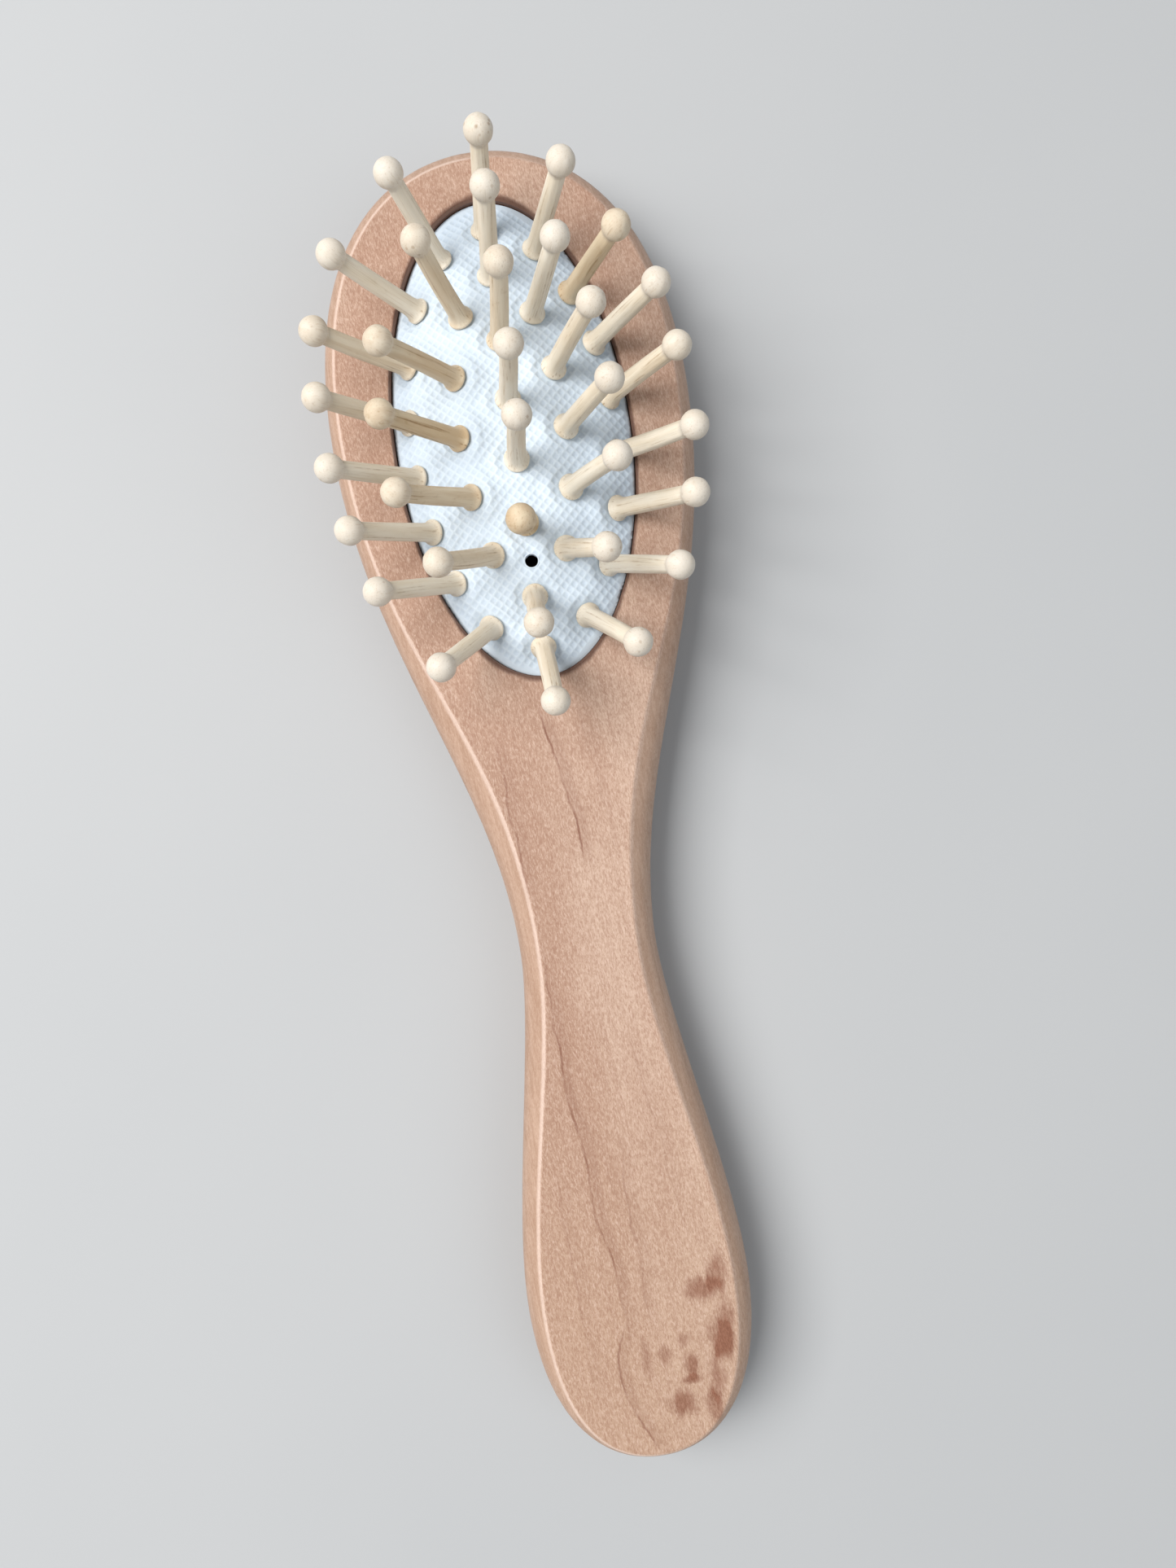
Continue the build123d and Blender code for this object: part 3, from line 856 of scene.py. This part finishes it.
class Membrane:
    """The waffled membrane with its holes: its outer and inner points, and the quads that join them."""

    def __init__(self, dome):
        x, y, floor = waffle_grid(dome.half_length)
        index = np.arange(x.size).reshape(x.shape)
        x, y, floor = x.ravel(), y.ravel(), floor.ravel()
        reach = dome.reach(x, y)
        self.outside = reach > RIM_REACH
        x = np.where(self.outside, x / reach, x)
        y = np.where(self.outside, y / reach, y)
        followed, self.dip, nearest = dome.surface(x, y)
        clear = smooth_step(nearest, COLLAR_RADIUS, DIMPLE_FLOOR) * (reach < WAFFLE_REACH)
        self.waffle = floor * WAFFLE_DEEP * clear
        self.top = np.stack([x, y, followed - self.dip - self.waffle], axis=1)
        rims = self.cut_holes(index, cushion_holes(dome))

        rise_x, rise_y = dome.slope(x, y, SLOPE_STEP, 0.0), dome.slope(x, y, 0.0, SLOPE_STEP)
        normal = np.stack([-rise_x, -rise_y, np.ones_like(rise_x)], axis=1)
        self.under = np.stack([x, y, followed], axis=1)
        self.under -= MEMBRANE * normal / np.linalg.norm(normal, axis=1)[:, None]
        for rim, up in rims:
            self.under[rim] = self.top[rim] - (MEMBRANE - self.dip[rim] * up[2])[:, None] * up

    def cut_holes(self, index, holes):
        """Keeps the quads that lie in no hole, and gives each hole's edge points with its direction."""
        in_hole = np.zeros(len(self.top), int)
        for number, (foot, up, radius) in enumerate(holes, 1):
            apart, _ = across_pin(*self.top.T, foot, up)
            in_hole[apart < radius] = number
        corners = [index[:-1, :-1], index[1:, :-1], index[1:, 1:], index[:-1, 1:]]
        quads = np.stack(corners, axis=-1).reshape(-1, 4)
        self.quads = quads[~self.outside[quads].all(axis=1) & ~(in_hole[quads] > 0).all(axis=1)]
        in_use = np.isin(np.arange(len(self.top)), self.quads)
        rims = []
        for number, (foot, up, radius) in enumerate(holes, 1):
            rim = np.where((in_hole == number) & in_use)[0]
            self.round_rim(rim, foot, up, radius)
            rims.append((rim, up))
        return rims

    def round_rim(self, rim, foot, up, radius):
        """Moves a hole's edge points onto its circle."""
        _, off = across_pin(*self.top[rim].T, foot, up)
        off *= radius / np.linalg.norm(off, axis=1)[:, None]
        along = (self.top[rim] - foot) @ up
        self.top[rim] = foot + along[:, None] * up + off


def border_edges(quads):
    """The edges that belong to one quad only, each in its quad's direction."""
    edges = {}
    for quad in quads:
        for a, b in zip(quad, np.roll(quad, -1)):
            edges[(a, b)] = True
    return [(a, b) for a, b in edges if (b, a) not in edges]


def skirt_rings(dome, rim_points):
    """Rings from the dome's rim down its side, round the bead, and up inside the skirt."""
    section = (
        (RIM_EDGE[0], dome.rim - RIM_EDGE[1]), (0.0, dome.rim - RIM_SIDE_TOP), (0.0, BEAD_TOP),
        (BEAD_OUT, BEAD_TOP), (BEAD_OUT, BEAD_BOTTOM), (0.0, BEAD_BOTTOM), (0.0, SKIRT_FOOT),
        (-SKIRT, SKIRT_FOOT), (-SKIRT, dome.rim - MEMBRANE - RIM_SIDE_TOP),
    )
    across, along = rim_points[:, 0] / dome.half_width, rim_points[:, 1] / dome.half_length
    rings = []
    for out, height in section:
        x, y = across * (dome.half_width + out), along * (dome.half_length + out)
        rings.append(np.stack([x, y, np.full(len(across), height)], axis=1))
    return rings


def cushion_shell(dome):
    """The cushion's points and faces, and how deep in the waffle each point lies, from 0 to 1."""
    membrane = Membrane(dome)
    used = np.unique(membrane.quads)
    count = len(used)
    renumber = np.full(len(membrane.top), -1)
    renumber[used] = np.arange(count)
    quads = renumber[membrane.quads]
    points = [membrane.top[used], membrane.under[used]]
    faces = [tuple(quad) for quad in quads] + [tuple(quad + count)[::-1] for quad in quads]

    border = border_edges(quads)
    on_rim = membrane.outside[used]
    rim_edges = [(a, b) for a, b in border if on_rim[a] and on_rim[b]]
    faces += [(b, a, a + count, b + count) for a, b in border if not (on_rim[a] and on_rim[b])]

    rim_index = sorted({a for a, _ in rim_edges})
    rings = [{a: a for a in rim_index}]
    total = 2 * count
    for ring in skirt_rings(dome, membrane.top[used][rim_index]):
        points.append(ring)
        rings.append({a: total + place for place, a in enumerate(rim_index)})
        total += len(rim_index)
    rings.append({a: a + count for a in rim_index})
    for upper, lower in zip(rings, rings[1:]):
        faces += [(upper[b], upper[a], lower[a], lower[b]) for a, b in rim_edges]

    lip_points, lip_faces = vent_lip(dome)
    points.append(lip_points)
    faces += [tuple(corner + total for corner in face) for face in lip_faces]
    points = np.concatenate(points) + (0, dome.middle, 0)
    low = np.zeros(len(points))
    low[:count] = membrane.waffle[used] / WAFFLE_DEEP
    return points, [tuple(int(corner) for corner in face) for face in faces], low


def make_cushion(pins, material):
    """The cushion: membrane, skirt and bead in one closed shell, and the ring that lines its vent."""
    points, faces, low = cushion_shell(Dome(pins))
    mesh = bpy.data.meshes.new("rubber_cushion")
    mesh.from_pydata(points * MM, [], faces)
    store(mesh, "low", "FLOAT", "value", low)
    mesh.shade_smooth()
    mesh.set_sharp_from_angle(angle=math.radians(CUSHION_SHARP))
    mesh.materials.append(material)
    cushion = bpy.data.objects.new("rubber_cushion", mesh)
    bpy.context.scene.collection.objects.link(cushion)
    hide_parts("cushion")
    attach(cushion, "cushion")


def make_camera():
    """A camera at the photograph's viewing angle."""
    data = bpy.data.cameras.new("camera")
    data.lens = CAMERA_LENS
    data.clip_start = CAMERA_NEAR
    camera = bpy.data.objects.new("camera", data)
    bpy.context.scene.collection.objects.link(camera)
    back = (Vector(CAMERA_AT) - Vector(CAMERA_LOOKS_AT)).normalized()
    right = Vector((math.cos(math.radians(CAMERA_ROLL)), math.sin(math.radians(CAMERA_ROLL)), 0))
    right = (right - right.dot(back) * back).normalized()
    turned = Matrix((right, back.cross(right), back)).transposed()
    camera.matrix_world = Matrix.LocRotScale(Vector(CAMERA_AT) * MM, turned, None)
    bpy.context.scene.camera = camera


def make_light(name, at, size, power, colour):
    """A square soft light at a place in metres, facing the brush."""
    data = bpy.data.lights.new(name, "AREA")
    data.size = size
    data.energy = power
    data.color = colour
    light = bpy.data.objects.new(name, data)
    bpy.context.scene.collection.objects.link(light)
    light.matrix_world = Matrix.LocRotScale(Vector(at), Vector(at).to_track_quat("Z", "Y"), None)


def make_stage():
    """A plain pale floor with a faint plaster-like unevenness, and soft light from everywhere."""
    mesh = bpy.data.meshes.new("floor")
    half = FLOOR_SIZE / 2
    corners = [(-half, -half, 0), (half, -half, 0), (half, half, 0), (-half, half, 0)]
    mesh.from_pydata(corners, [], [(0, 1, 2, 3)])
    floor = bpy.data.objects.new("floor", mesh)
    bpy.context.scene.collection.objects.link(floor)
    pale = Surface("floor", Roughness=FLOOR_ROUGH)
    cloudy = pale.noise(pale.object_mm(), detail=3.0, scale=FLOOR_SCALE)
    pale.drive("Base Color", pale.mix(cloudy, *FLOOR_TONES))
    mesh.materials.append(pale.material)

    world = bpy.data.worlds.new("sky")
    world.use_nodes = True
    background = world.node_tree.nodes["Background"]
    background.inputs["Color"].default_value = SKY_COLOUR
    background.inputs["Strength"].default_value = SKY_STRENGTH
    bpy.context.scene.world = world
    make_light(*WINDOW_LIGHT)
    make_light(*FILL_LIGHT)


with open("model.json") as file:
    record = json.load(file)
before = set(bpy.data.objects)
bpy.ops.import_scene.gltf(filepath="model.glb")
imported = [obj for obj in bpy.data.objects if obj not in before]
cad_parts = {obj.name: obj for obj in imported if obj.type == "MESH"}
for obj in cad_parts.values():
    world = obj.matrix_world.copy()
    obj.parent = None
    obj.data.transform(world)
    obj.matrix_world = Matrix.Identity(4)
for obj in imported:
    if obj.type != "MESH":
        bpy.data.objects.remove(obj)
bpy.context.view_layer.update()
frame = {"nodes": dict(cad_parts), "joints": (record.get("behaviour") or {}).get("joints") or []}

make_stage()
make_camera()
frame["nodes"]["handle_body"].data.materials.clear()
frame["nodes"]["handle_body"].data.materials.append(wood_material())
pin_list = [
    Pin(joint, frame["nodes"][joint["child"]]) for joint in frame["joints"] if joint["type"] == "hinge"
]
make_cushion(pin_list, rubber_material())
bamboo_look = bamboo_material()
for number, pin in enumerate(pin_list):
    make_pin(pin, random.Random(PIN_SEED + number), bamboo_look)

bpy.context.scene.view_settings.view_transform = "Standard"
